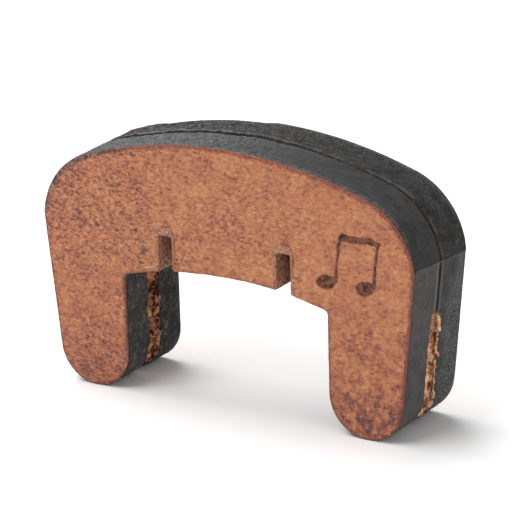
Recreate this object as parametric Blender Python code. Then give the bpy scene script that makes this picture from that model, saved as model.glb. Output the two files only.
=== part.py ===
"""Leather practice mute for a violin, in metres, +Z up.

The mute is an arch with two legs, cut from two thick plies of leather that are
glued together.  Each leg is slotted along the seam, open at its foot and at both
of its sides, so that it grips the violin's bridge.  Two notches in the arch's
underside let the middle strings pass.

The origin is on the surface the mute stands on, midway between the legs and
midway through the thickness.  X runs from leg to leg, -Y is the front face and
the glue seam lies in the plane Y = 0.
"""
import math

import bmesh
import bpy

MM = 0.001

# ---- Plies and seam -------------------------------------------------------
PLY_THICKNESS = 4.045 * MM
SEAM_WIDTH = 0.25 * MM          # from ply to ply across the glue line
GLUE_THICKNESS = 0.15 * MM
GLUE_SETBACK = 0.8 * MM         # the glue stops short of the edge and leaves a groove
CLEARANCE = 0.05 * MM           # between any two solids that touch in reality
COAT_THICKNESS = 0.12 * MM      # black finish on the cut edges
COAT_CHAMFER = 0.06 * MM
RIM_RADIUS = 0.25 * MM          # rounding of a ply's outer edges
BARE_RIM_RADIUS = 0.14 * MM     # rounding of the uncoated underside's edges
RIM_STEPS = 3

# ---- Outline --------------------------------------------------------------
HEIGHT = 22.68 * MM
CROWN_RADIUS = 41.4 * MM
SHOULDER_RADIUS = 6.7 * MM
CORNER_X = 17.96 * MM           # where the shoulder curve meets the straight leg side
CORNER_Z = 14.75 * MM
LEG_BASE_X = 16.46 * MM         # where the straight leg side would meet the ground
LEG_INNER_X = 9.88 * MM         # half of the opening between the legs
ARCH_SPRING_Z = 10.42 * MM      # where the arch's underside meets the leg's inner side
ARCH_TOP_Z = 11.79 * MM
ARCH_FILLET = 0.4 * MM

# ---- String notches -------------------------------------------------------
STRING_SPACING = 11.5 * MM
NOTCH_WIDTH = 1.2 * MM
NOTCH_TOP_Z = 14.44 * MM
NOTCH_CORNER_RADIUS = 0.25 * MM
NOTCH_LIP_RADIUS = 0.45 * MM

# ---- Bridge slots in the legs ---------------------------------------------
SLOT_WIDTH = 1.75 * MM
SLOT_TOP_Z = 10.4 * MM
CUTTER_MARGIN = 2.0 * MM

# ---- Finishes: colour (linear), roughness, metallic ------------------------
TAN_LEATHER = ((0.46, 0.195, 0.105), 0.62, 0.0)
BLACK_EDGE = ((0.075, 0.070, 0.067), 0.85, 0.0)
DRY_GLUE = ((0.045, 0.021, 0.012), 0.45, 0.0)


def clear_scene():
    """Remove every object that is in the scene."""
    for obj in list(bpy.data.objects):
        bpy.data.objects.remove(obj, do_unlink=True)


def make_material(name, finish):
    """Return a Principled material of one colour, roughness and metallic value."""
    colour, roughness, metallic = finish
    material = bpy.data.materials.new(name)
    material.use_nodes = True
    shader = material.node_tree.nodes["Principled BSDF"]
    shader.inputs["Base Color"].default_value = (*colour, 1.0)
    shader.inputs["Roughness"].default_value = roughness
    shader.inputs["Metallic"].default_value = metallic
    material.diffuse_color = (*colour, 1.0)
    return material


def arc(centre, radius, start, end, steps):
    """Points (x, z) on an arc from angle start to angle end, both ends included."""
    points = []
    for i in range(steps + 1):
        angle = start + (end - start) * i / steps
        points.append((centre[0] + radius * math.cos(angle), centre[1] + radius * math.sin(angle)))
    return points


def angle_of(origin, point):
    """Direction from origin to point, as an angle in the X-Z plane."""
    return math.atan2(point[1] - origin[1], point[0] - origin[0])


def shoulder_centre(crown_centre):
    """Centre of the arc that leaves the crown smoothly and ends at the corner."""
    dx, dz = CORNER_X - crown_centre[0], CORNER_Z - crown_centre[1]
    distance = math.hypot(dx, dz)
    reach = CROWN_RADIUS - SHOULDER_RADIUS
    along = (reach ** 2 - SHOULDER_RADIUS ** 2 + distance ** 2) / (2 * distance)
    across = math.sqrt(reach ** 2 - along ** 2)
    ux, uz = dx / distance, dz / distance
    return (crown_centre[0] + ux * along - uz * across, crown_centre[1] + uz * along + ux * across)


def outer_half():
    """The finished edge of the right half: crown, shoulder, leg side, foot, inner side, fillet."""
    crown_centre = (0.0, HEIGHT - CROWN_RADIUS)
    shoulder = shoulder_centre(crown_centre)
    tangent = angle_of(crown_centre, shoulder)
    points = arc(crown_centre, CROWN_RADIUS, math.pi / 2, tangent, 12)
    points += arc(shoulder, SHOULDER_RADIUS, tangent, angle_of(shoulder, (CORNER_X, CORNER_Z)), 8)

    side_x, side_z = CORNER_X - LEG_BASE_X, CORNER_Z
    length = math.hypot(side_x, side_z)
    normal_x, normal_z = side_z / length, -side_x / length
    foot_radius = (normal_x * (CORNER_X - LEG_INNER_X) + normal_z * CORNER_Z) / (normal_x + normal_z + 1)
    foot = (LEG_INNER_X + foot_radius, foot_radius)
    points += arc(foot, foot_radius, math.atan2(normal_z, normal_x), -math.pi / 2, 9)
    points += arc(foot, foot_radius, -math.pi / 2, -math.pi, 9)
    fillet = fillet_centre()
    points += arc(fillet, ARCH_FILLET, 0.0, angle_of(arch_circle()[0], fillet), 5)
    return points


def arch_circle():
    """Centre and radius of the arc that the arch's underside follows."""
    rise = ARCH_TOP_Z - ARCH_SPRING_Z
    radius = (LEG_INNER_X ** 2 + rise ** 2) / (2 * rise)
    return (0.0, ARCH_TOP_Z - radius), radius


def fillet_centre():
    """Centre of the fillet between a leg's inner side and the underside."""
    centre, radius = arch_circle()
    x = LEG_INNER_X - ARCH_FILLET
    return (x, centre[1] + math.sqrt((radius - ARCH_FILLET) ** 2 - x ** 2))


def lip_centre(x):
    """Centre of a notch lip's rounding, which touches the underside at about x."""
    centre, radius = arch_circle()
    return (x, centre[1] + math.sqrt((radius + NOTCH_LIP_RADIUS) ** 2 - x ** 2))


def inner_half():
    """The bare edge of the right half: underside and string notch, to the middle."""
    centre, radius = arch_circle()
    notch_x = STRING_SPACING / 2
    wall = NOTCH_WIDTH / 2
    outer_lip = lip_centre(notch_x + wall + NOTCH_LIP_RADIUS)
    inner_lip = lip_centre(notch_x - wall - NOTCH_LIP_RADIUS)
    fillet_end = angle_of(centre, fillet_centre())
    outer_start = angle_of(centre, outer_lip)
    inner_start = angle_of(centre, inner_lip)
    corner_x = wall - NOTCH_CORNER_RADIUS
    corner_z = NOTCH_TOP_Z - NOTCH_CORNER_RADIUS

    points = arc(centre, radius, fillet_end, outer_start, 3)
    points += arc(outer_lip, NOTCH_LIP_RADIUS, outer_start + math.pi, math.pi, 4)
    points += arc((notch_x + corner_x, corner_z), NOTCH_CORNER_RADIUS, 0.0, math.pi / 2, 3)
    points += arc((notch_x - corner_x, corner_z), NOTCH_CORNER_RADIUS, math.pi / 2, math.pi, 3)
    points += arc(inner_lip, NOTCH_LIP_RADIUS, 0.0, inner_start - math.pi, 4)
    points += arc(centre, radius, inner_start, math.pi / 2, 5)
    return points


def without_repeats(points):
    """Drop each point that lies on the one before it."""
    kept = []
    for point in points:
        if not kept or math.dist(point, kept[-1]) > 1e-7:
            kept.append(point)
    return kept


def mirrored(points):
    """The left half's points, in the order that continues the right half's."""
    return [(-x, z) for x, z in reversed(points)]


def outward_normals(points):
    """Offset direction at each point of a clockwise outline, stretched at corners."""
    normals = []
    count = len(points)
    for i in range(count):
        before, here, after = points[i - 1], points[i], points[(i + 1) % count]
        angle_in, angle_out = angle_of(before, here), angle_of(here, after)
        turn = (angle_out - angle_in + math.pi) % (2 * math.pi) - math.pi
        direction = angle_in + turn / 2 + math.pi / 2
        stretch = 1 / math.cos(turn / 2)
        normals.append((math.cos(direction) * stretch, math.sin(direction) * stretch))
    return normals


def mute_outline():
    """The whole outline, clockwise seen from the front.

    Returns rows of (point, normal, coated).  The point where the black finish
    ends is there twice, once coated and once bare.
    """
    outer = without_repeats(outer_half())
    inner = without_repeats(inner_half())
    inner_loop = without_repeats(inner + mirrored(inner))
    points = without_repeats(outer + inner_loop + mirrored(outer))[:-1]
    rows = [(point, normal, True) for point, normal in zip(points, outward_normals(points))]
    first_bare = len(outer) - 1
    last_bare = first_bare + len(inner_loop) - 1
    bare = [(point, normal, False) for point, normal, _ in rows[first_bare:last_bare + 1]]
    return rows[:first_bare + 1] + bare + rows[last_bare:]


def inset(row, depth):
    """The row's point, moved into the leather by depth."""
    (x, z), (nx, nz), _ = row
    return (x - nx * depth, z - nz * depth)


def new_object(name, mesh_data, finish):
    """Link a bmesh as an object with its own material and smooth round stretches."""
    bmesh.ops.recalc_face_normals(mesh_data, faces=mesh_data.faces)
    mesh = bpy.data.meshes.new(name)
    mesh_data.to_mesh(mesh)
    mesh_data.free()
    mesh.shade_smooth()
    mesh.set_sharp_from_angle(angle=math.radians(30))
    obj = bpy.data.objects.new(name, mesh)
    bpy.context.collection.objects.link(obj)
    if finish:
        mesh.materials.append(make_material(name, finish))
    return obj


def slab(loops):
    """A closed solid through a stack of closed loops with the same point count."""
    solid = bmesh.new()
    rings = [[solid.verts.new(co) for co in loop] for loop in loops]
    count = len(rings[0])
    for ring, following in zip(rings, rings[1:]):
        for i in range(count):
            j = (i + 1) % count
            solid.faces.new((ring[i], ring[j], following[j], following[i]))
    solid.faces.new(rings[0])
    solid.faces.new(reversed(rings[-1]))
    return solid


def rim_profile(radius):
    """(depth, height) pairs of a quarter round, from the flat face to the wall."""
    profile = []
    for i in range(RIM_STEPS + 1):
        angle = math.pi / 2 * i / RIM_STEPS
        profile.append((radius * (1 - math.sin(angle)), radius * (1 - math.cos(angle))))
    return profile


def make_ply(name, side, outline, slot_cutter):
    """One ply; side is -1 for the front ply and +1 for the rear one."""
    seam_y = SEAM_WIDTH / 2
    face_y = seam_y + PLY_THICKNESS
    coat_room = COAT_THICKNESS + CLEARANCE
    coated_rim = rim_profile(RIM_RADIUS)
    bare_rim = rim_profile(BARE_RIM_RADIUS)

    def loop(step, edge_y, inward):
        points = []
        for row in outline:
            depth, height = (coated_rim if row[2] else bare_rim)[step]
            x, z = inset(row, depth + (coat_room if row[2] else 0.0))
            points.append((x, side * (edge_y + inward * height), z))
        return points

    loops = [loop(step, face_y, -1) for step in range(RIM_STEPS + 1)]
    loops += [loop(step, seam_y, 1) for step in reversed(range(RIM_STEPS + 1))]
    ply = new_object(name, slab(loops), TAN_LEATHER)
    cut_slots(ply, slot_cutter)
    return ply


def make_edge_coat(name, side, outline, slot_cutter):
    """The black finish on one ply's cut edge, from one end of the arch's underside to the other."""
    near_y = SEAM_WIDTH / 2 + RIM_RADIUS
    far_y = SEAM_WIDTH / 2 + PLY_THICKNESS - RIM_RADIUS
    section = [
        (COAT_THICKNESS, near_y),
        (COAT_CHAMFER, near_y),
        (0.0, near_y + COAT_CHAMFER),
        (0.0, far_y - COAT_CHAMFER),
        (COAT_CHAMFER, far_y),
        (COAT_THICKNESS, far_y),
    ]
    coated = [row for row in outline if row[2]]
    first_left = max(i for i, row in enumerate(coated) if row[0][0] > 0) + 1
    path = coated[first_left:] + coated[:first_left]
    for end, following in ((0, 1), (-1, -2)):
        (x, z), normal, _ = path[end]
        next_x, next_z = path[following][0]
        share = CLEARANCE / math.hypot(next_x - x, next_z - z)
        path[end] = ((x + (next_x - x) * share, z + (next_z - z) * share), normal, True)

    solid = bmesh.new()
    rings = []
    for row in path:
        ring = []
        for depth, y in section:
            x, z = inset(row, depth)
            ring.append(solid.verts.new((x, side * y, z)))
        rings.append(ring)
    count = len(section)
    for ring, following in zip(rings, rings[1:]):
        for i in range(count):
            j = (i + 1) % count
            solid.faces.new((ring[i], ring[j], following[j], following[i]))
    solid.faces.new(rings[0])
    solid.faces.new(reversed(rings[-1]))
    coat = new_object(name, solid, BLACK_EDGE)
    cut_slots(coat, slot_cutter)
    return coat


def make_glue_film(name, outline, slot_cutter):
    """The dried glue between the plies, set back from every edge."""
    edge = [inset(row, GLUE_SETBACK) for row in film_rows(outline)]
    loops = []
    for y in (-GLUE_THICKNESS / 2, GLUE_THICKNESS / 2):
        loops.append([(x, y, z) for x, z in edge])
    film = new_object(name, slab(loops), DRY_GLUE)
    cut_slots(film, slot_cutter)
    return film


def film_rows(outline):
    """The outline without its doubled points and without the notch lips' tight arcs."""
    lip_reach = NOTCH_WIDTH / 2 + NOTCH_LIP_RADIUS
    kept = []
    for row in outline:
        x, z = row[0]
        near_notch = abs(abs(x) - STRING_SPACING / 2) < lip_reach and not row[2]
        lip = near_notch and z < ARCH_TOP_Z
        doubled = bool(kept) and math.dist(row[0], kept[-1][0]) < 1e-7
        if not lip and not doubled:
            kept.append(row)
    return kept


def make_slot_cutter():
    """One block that opens both legs along the seam, from the feet to the slot roof."""
    half_x, half_y = CORNER_X + CUTTER_MARGIN, SLOT_WIDTH / 2
    low_z, high_z = -CUTTER_MARGIN, SLOT_TOP_Z
    loops = []
    for z in (low_z, high_z):
        loops.append([(-half_x, -half_y, z), (half_x, -half_y, z), (half_x, half_y, z), (-half_x, half_y, z)])
    cutter = new_object("slot_cutter", slab(loops), None)
    cutter.hide_render = True
    cutter.display_type = "WIRE"
    return cutter


def cut_slots(obj, cutter):
    """Open the bridge slots in a solid that runs down the legs."""
    boolean = obj.modifiers.new("bridge_slots", "BOOLEAN")
    boolean.operation = "DIFFERENCE"
    boolean.solver = "EXACT"
    boolean.object = cutter


def main():
    clear_scene()
    outline = mute_outline()
    slot_cutter = make_slot_cutter()
    make_ply("front_ply", -1, outline, slot_cutter)
    make_ply("rear_ply", 1, outline, slot_cutter)
    make_edge_coat("front_edge_coat", -1, outline, slot_cutter)
    make_edge_coat("rear_edge_coat", 1, outline, slot_cutter)
    make_glue_film("glue_film", outline, slot_cutter)


main()
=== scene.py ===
"""Looks of a leather violin mute: two glued plies with blackened cut edges and raw fibrous slots.

Lengths in this script are in millimetres, in the frame of the CAD model, and are turned into metres
where a mesh is made.  X runs from leg to leg, -Y is the front face, Z is up, and the glue seam lies
in the plane Y = 0.  The front ply is side -1 and the rear ply is side +1.
"""
import itertools
import math

import bpy
import numpy as np
from mathutils import Matrix, Vector
from mathutils.geometry import delaunay_2d_cdt


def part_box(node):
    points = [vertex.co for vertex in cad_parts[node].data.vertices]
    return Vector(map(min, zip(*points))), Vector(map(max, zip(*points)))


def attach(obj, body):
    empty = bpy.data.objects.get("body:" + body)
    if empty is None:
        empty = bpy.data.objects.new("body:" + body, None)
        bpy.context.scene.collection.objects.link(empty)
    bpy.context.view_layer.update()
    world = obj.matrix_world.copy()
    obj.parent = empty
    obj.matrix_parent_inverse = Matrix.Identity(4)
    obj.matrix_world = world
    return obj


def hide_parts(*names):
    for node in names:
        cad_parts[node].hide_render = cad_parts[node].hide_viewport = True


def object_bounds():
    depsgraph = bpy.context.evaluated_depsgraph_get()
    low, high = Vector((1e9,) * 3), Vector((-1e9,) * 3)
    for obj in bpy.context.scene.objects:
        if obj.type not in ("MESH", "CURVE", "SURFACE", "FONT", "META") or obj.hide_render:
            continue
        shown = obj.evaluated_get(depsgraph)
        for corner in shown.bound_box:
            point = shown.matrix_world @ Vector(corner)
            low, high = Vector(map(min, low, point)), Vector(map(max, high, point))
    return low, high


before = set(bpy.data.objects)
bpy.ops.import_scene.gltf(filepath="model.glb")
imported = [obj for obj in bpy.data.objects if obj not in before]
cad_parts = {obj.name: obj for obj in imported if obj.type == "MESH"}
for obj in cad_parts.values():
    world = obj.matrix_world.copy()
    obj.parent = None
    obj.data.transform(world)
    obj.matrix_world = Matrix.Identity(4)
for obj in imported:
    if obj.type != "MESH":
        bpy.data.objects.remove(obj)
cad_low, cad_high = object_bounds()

MM = 0.001

# ---- Sizes shared with the CAD model ---------------------------------------
HEIGHT = cad_high.z / MM
CORNER_X = cad_high.x / MM
FACE_T = cad_high.y / MM            # distance of a ply's face from the seam plane
ROOF_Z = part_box("glue_film")[0].z / MM
CROWN_RADIUS = 41.4
SHOULDER_RADIUS = 6.7
CORNER_Z = 14.75
LEG_BASE_X = 16.46
LEG_INNER_X = 9.88
ARCH_SPRING_Z = 10.42
ARCH_TOP_Z = 11.71
ARCH_FILLET = 0.4
NOTCH_X = 5.75
NOTCH_HALF = 0.62
NOTCH_TOP_LEFT, NOTCH_TOP_RIGHT = 14.39, 14.60
NOTCH_CORNER = 0.18
NOTCH_LIP = 0.30
LEFT_LIP = NOTCH_LIP * 1.5          # the left notch's outer lip is rounder
SLOT_FRONT, SLOT_REAR = 0.68, 0.82  # distances of the slots' walls from the seam plane
SEAM_LEFT, SEAM_RIGHT = 0.085, 0.05  # half the width of the crack along the seam, at the left and right
GLUE_T = 0.10                       # half of the glue's thickness, which closes the whole crack
GLUE_SETBACK = 0.45
ROOF_LEVELS = (ROOF_Z - 0.012, ROOF_Z + 0.012)  # the heights between which a slot's roof is drawn

STEP = 0.14                         # spacing of the points along the outline
CREASE_ZONE = 0.55                  # distance from a shoulder corner within which points are added
CREASE_SHARES = (0.25, 0.5, 0.75)   # where they lie between two outline points
FINE_STEP = 0.065                   # spacing where the surface holds a crease or the mark
JAW_STEP = STEP * 0.75              # spacing on the slots' raw walls
HIDDEN_STEP = 1.1                   # spacing where the plies face each other over the slots


# ---- Noise ------------------------------------------------------------------
def hashed(ix, iy, iz, seed):
    """A repeatable pseudo-random value from 0 to 1 for each lattice point."""
    h = (ix * 374761393 + iy * 668265263 + iz * 2147483647 + seed * 144665) & 0xFFFFFFFF
    h = ((h ^ (h >> 13)) * 1274126177) & 0xFFFFFFFF
    return ((h ^ (h >> 16)) & 0xFFFF) / 65535.0


def value_noise(points, seed):
    """Smooth noise from -1 to 1 at an array of 3-D points, one lattice cell per unit."""
    points = np.asarray(points, float)
    cell = np.floor(points).astype(np.int64)
    part = points - cell
    part = part * part * (3 - 2 * part)
    total = 0.0
    for corner in itertools.product((0, 1), repeat=3):
        weight = np.abs(1 - np.array(corner) - part)
        weight = weight[..., 0] * weight[..., 1] * weight[..., 2]
        total = total + weight * hashed(*np.moveaxis(cell + corner, -1, 0), seed)
    return total * 2 - 1


def at(*parts):
    """Points or directions from arrays of their coordinates; a plain number is the same for all."""
    return np.stack(np.broadcast_arrays(*parts), -1).astype(float)


def in_space(flat, y):
    """3-D points or directions from flat ones, which hold X and Z, and their Y."""
    return at(flat[:, 0], y, flat[:, 1])


def fractal(points, seed, octaves=3):
    """Sum of octaves of value noise, from about -1 to 1."""
    points = np.asarray(points, float)
    total, reach, amplitude, scale = 0.0, 0.0, 1.0, 1.0
    for octave in range(octaves):
        total = total + amplitude * value_noise(points * scale + 17.3 * octave, seed + octave)
        reach += amplitude
        amplitude, scale = amplitude * 0.55, scale * 2.03
    return total / reach * 1.4


def smooth(x, low, high):
    """0 below low, 1 above high, and an eased ramp between."""
    t = np.clip((np.asarray(x, float) - low) / (high - low), 0, 1)
    return t * t * (3 - 2 * t)


# ---- Outline ----------------------------------------------------------------
def arc(centre, radius, start, end):
    """Points on an arc, both ends included, about one STEP apart."""
    steps = max(3, math.ceil(abs(end - start) * radius / STEP))
    angles = np.linspace(start, end, steps + 1)
    return [(centre[0] + radius * math.cos(a), centre[1] + radius * math.sin(a)) for a in angles]


def line(start, end):
    """Points on a straight line, both ends included, about one STEP apart."""
    steps = max(1, math.ceil(math.dist(start, end) / STEP))
    return [tuple(np.add(start, np.subtract(end, start) * k / steps)) for k in range(steps + 1)]


def angle_of(origin, point):
    return math.atan2(point[1] - origin[1], point[0] - origin[0])


def outer_half():
    """The finished edge of the right half: crown, shoulder, leg side, foot, inner side, fillet."""
    crown = (0.0, HEIGHT - CROWN_RADIUS)
    corner = (CORNER_X, CORNER_Z)
    distance = math.dist(crown, corner)
    reach = CROWN_RADIUS - SHOULDER_RADIUS
    along = (reach ** 2 - SHOULDER_RADIUS ** 2 + distance ** 2) / (2 * distance)
    across = math.sqrt(reach ** 2 - along ** 2)
    ux, uz = (corner[0] - crown[0]) / distance, (corner[1] - crown[1]) / distance
    shoulder = (crown[0] + ux * along - uz * across, crown[1] + uz * along + ux * across)
    tangent = angle_of(crown, shoulder)
    points = arc(crown, CROWN_RADIUS, math.pi / 2, tangent)
    points += arc(shoulder, SHOULDER_RADIUS, tangent, angle_of(shoulder, corner))
    run, rise = CORNER_X - LEG_BASE_X, CORNER_Z
    length = math.hypot(run, rise)
    nx, nz = rise / length, -run / length
    foot_radius = (nx * (CORNER_X - LEG_INNER_X) + nz * CORNER_Z) / (nx + nz + 1)
    foot = (LEG_INNER_X + foot_radius, foot_radius)
    points += line(corner, (foot[0] + nx * foot_radius, foot[1] + nz * foot_radius))
    points += arc(foot, foot_radius, math.atan2(nz, nx), -math.pi)
    fillet = fillet_centre()
    points += line((LEG_INNER_X, foot_radius), (LEG_INNER_X, fillet[1]))
    points += arc(fillet, ARCH_FILLET, 0.0, angle_of(arch_circle()[0], fillet))
    return points


def arch_circle():
    """Centre and radius of the arc that the arch's underside follows."""
    rise = ARCH_TOP_Z - ARCH_SPRING_Z
    radius = (LEG_INNER_X ** 2 + rise ** 2) / (2 * rise)
    return (0.0, ARCH_TOP_Z - radius), radius


def fillet_centre():
    centre, radius = arch_circle()
    x = LEG_INNER_X - ARCH_FILLET
    return (x, centre[1] + math.sqrt((radius - ARCH_FILLET) ** 2 - x ** 2))


def lip_centre(x, lip):
    centre, radius = arch_circle()
    return (x, centre[1] + math.sqrt((radius + lip) ** 2 - x ** 2))


def notch_top(x):
    """Height of a string notch's top; the right one was cut a little higher."""
    return np.where(np.asarray(x) < 0, NOTCH_TOP_LEFT, NOTCH_TOP_RIGHT)


def inner_half(outer_lip_radius, top_z):
    """The bare edge of one half: underside and string notch, to the middle."""
    centre, radius = arch_circle()
    outer_lip = lip_centre(NOTCH_X + NOTCH_HALF + outer_lip_radius, outer_lip_radius)
    inner_lip = lip_centre(NOTCH_X - NOTCH_HALF - NOTCH_LIP, NOTCH_LIP)
    fillet_end = angle_of(centre, fillet_centre())
    outer_start = angle_of(centre, outer_lip)
    inner_start = angle_of(centre, inner_lip)
    corner_x, corner_z = NOTCH_HALF - NOTCH_CORNER, top_z - NOTCH_CORNER
    points = arc(centre, radius, fillet_end, outer_start)
    points += arc(outer_lip, outer_lip_radius, outer_start + math.pi, math.pi)
    points += line((NOTCH_X + NOTCH_HALF, outer_lip[1]), (NOTCH_X + NOTCH_HALF, corner_z))
    points += arc((NOTCH_X + corner_x, corner_z), NOTCH_CORNER, 0.0, math.pi / 2)
    points += line((NOTCH_X + corner_x, top_z), (NOTCH_X - corner_x, top_z))
    points += arc((NOTCH_X - corner_x, corner_z), NOTCH_CORNER, math.pi / 2, math.pi)
    points += line((NOTCH_X - NOTCH_HALF, corner_z), (NOTCH_X - NOTCH_HALF, inner_lip[1]))
    points += arc(inner_lip, NOTCH_LIP, 0.0, inner_start - math.pi)
    points += arc(centre, radius, inner_start, math.pi / 2)
    return points


def without_repeats(points):
    """Drop each point that lies on the one before it; a point is (x, z, bare)."""
    kept = []
    for point in points:
        if not kept or math.dist(point[:2], kept[-1][:2]) > 1e-4:
            kept.append(point)
    return kept


def mirrored(points):
    return [(-point[0], *point[1:]) for point in reversed(points)]


def marked(points, bare):
    return [(x, z, bare) for x, z in points]


def between(here, after, k):
    """The point that lies k of the way from one outline point to the next."""
    return (here[0] + (after[0] - here[0]) * k, here[1] + (after[1] - here[1]) * k, here[2])


def refined(points):
    """Add points where the outline passes the sharp shoulder creases."""
    made = []
    for here, after in zip(points, points[1:] + points[:1]):
        made.append(here)
        if math.dist((abs(here[0]), here[1]), (CORNER_X, CORNER_Z)) < CREASE_ZONE:
            made += [between(here, after, k) for k in CREASE_SHARES]
    return made


def with_roof_points(points):
    """Add a point just under and just over the slot roof wherever a leg's outline crosses it."""
    made = []
    for here, after in zip(points, points[1:] + points[:1]):
        made.append(here)
        for level in ROOF_LEVELS[::-1] if here[1] > after[1] else ROOF_LEVELS:
            if (here[1] - level) * (after[1] - level) < 0:
                crossing = between(here, after, (level - here[1]) / (after[1] - here[1]))
                made.append((crossing[0], level, here[2]))
    return without_repeats(made)


CHUNK = 4000
SOFTEN = 9                          # outline points over which a radius changes
OUTSIDE_GROWTH, INSIDE_LOSS = 0.17, 0.15


def softened(values):
    """Running mean round the closed outline."""
    kernel = np.ones(SOFTEN) / SOFTEN
    wide = np.concatenate([values[-SOFTEN:], values, values[:SOFTEN]])
    return np.convolve(wide, kernel, mode="same")[SOFTEN:-SOFTEN]


def distances_along(points):
    """Distance of each point from the first, along the line that joins them."""
    return np.concatenate([[0], np.cumsum(np.linalg.norm(np.diff(points, axis=0), axis=1))])


def in_chunks(measure, points):
    """What measure gives for the points, worked out for CHUNK of them at a time."""
    return np.concatenate([measure(points[k:k + CHUNK]) for k in range(0, len(points), CHUNK)])


class Outline:
    """The mute's outline, clockwise from the middle of the crown, as arrays."""

    def __init__(self):
        outer = marked(outer_half(), False)
        inner = marked(inner_half(NOTCH_LIP, NOTCH_TOP_RIGHT), True)[1:]
        left_inner = marked(inner_half(LEFT_LIP, NOTCH_TOP_LEFT), True)[1:]
        loop = without_repeats(outer + inner + mirrored(left_inner) + mirrored(outer))[:-1]
        points = with_roof_points(refined(loop))
        self.p = np.array([point[:2] for point in points])
        self.bare = np.array([point[2] for point in points])
        before = np.roll(self.p, 1, axis=0)
        after = np.roll(self.p, -1, axis=0)
        a_in = np.arctan2(*(self.p - before).T[::-1])
        a_out = np.arctan2(*(after - self.p).T[::-1])
        turn = (a_out - a_in + math.pi) % (2 * math.pi) - math.pi
        direction = a_in + turn / 2 + math.pi / 2
        self.n = at(np.cos(direction), np.sin(direction)) / np.cos(turn / 2)[:, None]
        self.along = at(-self.n[:, 1], self.n[:, 0])
        self.s = distances_along(self.p)
        self.leg = self.p[:, 1] < ROOF_Z
        x, z = self.p.T
        outside = ~self.bare & ((np.abs(x) > LEG_INNER_X + 3.0) | (z > CORNER_Z))
        inside = ~self.bare & (x < 0) & (x > -LEG_INNER_X - 1.0)
        lifted = smooth(z, 0.5, 4.0)
        self.uneven = softened(OUTSIDE_GROWTH * outside * lifted - INSIDE_LOSS * inside * lifted)

    def edge_distance(self, points, wanted):
        """Distance from each point to the outline's stretches where wanted is true."""
        a = self.p
        b = np.roll(self.p, -1, axis=0)
        keep = wanted & np.roll(wanted, -1)
        a, b = a[keep], b[keep]
        d = b - a

        def nearest(q):
            q = q[:, None, :]
            t = np.clip(((q - a) * d).sum(2) / (d * d).sum(1), 0, 1)
            return np.linalg.norm(q - a - d * t[..., None], axis=2).min(1)

        return in_chunks(nearest, points)

    def contains(self, points):
        """True for each point inside the outline."""
        a, b = self.p, np.roll(self.p, -1, axis=0)

        def inside(q):
            x, z = q[:, 0:1], q[:, 1:2]
            spans = (a[:, 1] > z) != (b[:, 1] > z)
            with np.errstate(divide="ignore", invalid="ignore"):
                cross = (b[:, 0] - a[:, 0]) * (z - a[:, 1]) / (b[:, 1] - a[:, 1]) + a[:, 0]
            return (spans & (x < cross)).sum(1) % 2 == 1

        return in_chunks(inside, points)


outline = Outline()


# ---- Burnt mark: a pair of beamed notes --------------------------------------
MARK_X, MARK_Z = 12.0, 14.55
MARK_HALF = 3.3
MARK_TILT = math.radians(-9)
MARK_DEPTH = 0.13
NOTE_HEADS = ((-1.85, -1.95), (1.65, -1.35))
HEAD_LONG, HEAD_SHORT, HEAD_TILT = 0.88, 0.60, math.radians(26)
STEM_RISE = 3.8


def segment_distance(u, v, start, end):
    """Distance from (u, v) to a straight stroke's centre line."""
    du, dv = end[0] - start[0], end[1] - start[1]
    t = np.clip(((u - start[0]) * du + (v - start[1]) * dv) / (du * du + dv * dv), 0, 1)
    return np.hypot(u - start[0] - du * t, v - start[1] - dv * t)


def mark_distance(x, z):
    """Signed distance to the burnt strokes; negative inside a stroke."""
    u = (x - MARK_X) * math.cos(MARK_TILT) + (z - MARK_Z) * math.sin(MARK_TILT)
    v = (z - MARK_Z) * math.cos(MARK_TILT) - (x - MARK_X) * math.sin(MARK_TILT)
    u = u + 0.10 * fractal(at(u * 1.3, v * 1.3, 0), 71, 2)
    v = v + 0.10 * fractal(at(u * 1.3, v * 1.3, 9), 72, 2)
    width = 0.17 + 0.09 * value_noise(at(u * 1.3, v * 1.3, 0), 73)
    strokes = []
    tops = []
    for cu, cv in NOTE_HEADS:
        a = (u - cu) * math.cos(HEAD_TILT) + (v - cv) * math.sin(HEAD_TILT)
        b = -(u - cu) * math.sin(HEAD_TILT) + (v - cv) * math.cos(HEAD_TILT)
        ellipse = (np.hypot(a / HEAD_LONG, b / HEAD_SHORT) - 1) * HEAD_SHORT
        strokes.append(ellipse)
        stem = (cu + HEAD_LONG * 0.86, cv + 0.30)
        top = (stem[0], stem[1] + STEM_RISE)
        tops.append(top)
        strokes.append(segment_distance(u, v, stem, top) - width * 0.85)
    strokes.append(segment_distance(u, v, *tops) - width * 1.5)
    return np.minimum.reduce(strokes)


# ---- Relief -----------------------------------------------------------------
PINCH_TOP, PINCH_LEFT, PINCH_RIGHT, PINCH_PLAIN = 0.84, 0.30, 0.34, 0.15
LOW_LIP, LOW_HOOK = 0.44, 0.50      # height of the rolled lip at the notches' lower left, and its hook
PINCH_DEPTH, PLAIN_DEPTH = 0.14, 0.06
LOW_FADE, LOW_REACH = 2.0, 3.9      # the lip tapers out between these distances from the notch


def notch_offset(x):
    """Signed distance from the nearer notch's centre line."""
    return np.where(x < 0, x + NOTCH_X, x - NOTCH_X)


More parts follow.
